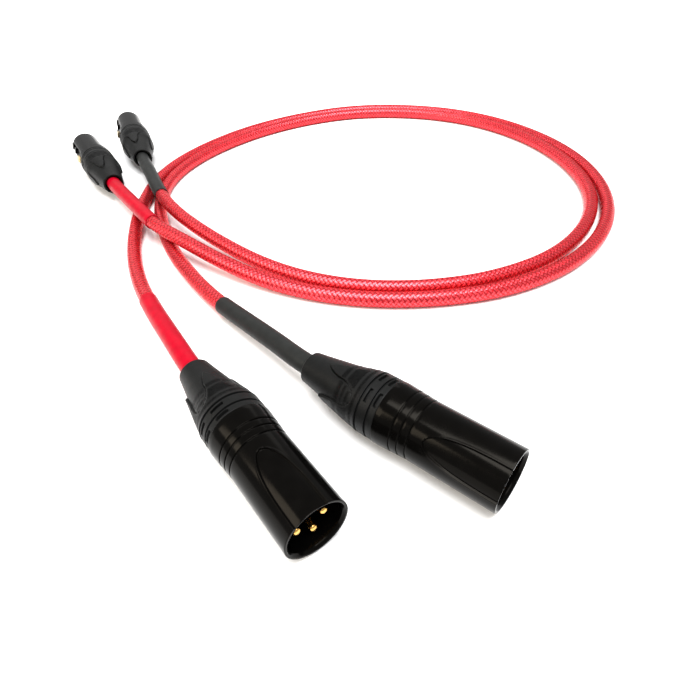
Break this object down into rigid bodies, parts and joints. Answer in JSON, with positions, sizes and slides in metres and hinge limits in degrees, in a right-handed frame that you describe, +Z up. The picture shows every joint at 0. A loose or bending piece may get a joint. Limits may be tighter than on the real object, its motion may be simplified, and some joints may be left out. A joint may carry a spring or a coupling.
{
  "type": "xlr cable coil",
  "caption": "Pair of balanced audio leads, each laid in one loose loop, with male and female three-pole plugs, shrink sleeves and sprung latches.",
  "frame": {"origin": "on the surface that the leads lie on, under the middle of the box round the four plugs", "axes": "+Z up from that surface; +Y away from the viewer of the picture, from the male plugs towards the female plugs; +X to the viewer's right, where the loop lies"},
  "size_m": [0.3096, 0.3401, 0.0204],
  "materials": {
    "shell_black": "gloss black lacquer",
    "insulator_black": "moulded",
    "contact_gold": "gold plated",
    "clamp_black": "moulded",
    "wire_white": "extruded",
    "jacket_red": "clear red jacket over braid",
    "boot_grey": "matte moulded",
    "latch_gold": "gold plated",
    "spring_steel": "bright",
    "sleeve_red": "heat-shrunk, glossy",
    "sleeve_black": "heat-shrunk, satin"
  },
  "bodies": {
    "leads": {"red_male_shell": "shell_black", "red_male_carrier": "insulator_black", "red_male_pins": "contact_gold", "red_male_clamp": "clamp_black", "red_male_wires": "wire_white", "red_male_cable_end": "jacket_red", "red_male_boot": "boot_grey", "red_female_shell": "shell_black", "red_female_carrier": "insulator_black", "red_female_sockets": "contact_gold", "red_female_latch_pin": "spring_steel", "red_female_latch_spring": "spring_steel", "red_female_clamp": "clamp_black", "red_female_wires": "wire_white", "red_female_cable_end": "jacket_red", "red_female_boot": "boot_grey", "black_male_shell": "shell_black", "black_male_carrier": "insulator_black", "black_male_pins": "contact_gold", "black_male_clamp": "clamp_black", "black_male_wires": "wire_white", "black_male_cable_end": "jacket_red", "black_male_boot": "boot_grey", "black_female_shell": "shell_black", "black_female_carrier": "insulator_black", "black_female_sockets": "contact_gold", "black_female_latch_pin": "spring_steel", "black_female_latch_spring": "spring_steel", "black_female_clamp": "clamp_black", "black_female_wires": "wire_white", "black_female_cable_end": "jacket_red", "black_female_boot": "boot_grey", "red_cable": "jacket_red", "red_front_sleeve": "sleeve_red", "red_rear_sleeve": "sleeve_red", "black_cable": "jacket_red", "black_front_sleeve": "sleeve_black", "black_rear_sleeve": "sleeve_black"},
    "red_latch_lever": {"red_female_latch": "latch_gold"},
    "black_latch_lever": {"black_female_latch": "latch_gold"}
  },
  "joints": [
    {"name": "red_latch", "type": "hinge", "parent": "leads", "child": "red_latch_lever", "pos_m": [-0.10286, 0.11293, 0.01121], "axis": [0.274, 0.1601, 0.9483], "range_deg": [0, 4.5], "stiffness_Nm_per_rad": 0.4, "springref_deg": -1.72, "deforming": ["red_female_latch_spring"]},
    {"name": "black_latch", "type": "hinge", "parent": "leads", "child": "black_latch_lever", "pos_m": [-0.08676, 0.15281, 0.01117], "axis": [0.2871, 0.1143, 0.9511], "range_deg": [0, 4.5], "stiffness_Nm_per_rad": 0.4, "springref_deg": -1.72, "deforming": ["black_female_latch_spring"]}
  ]
}
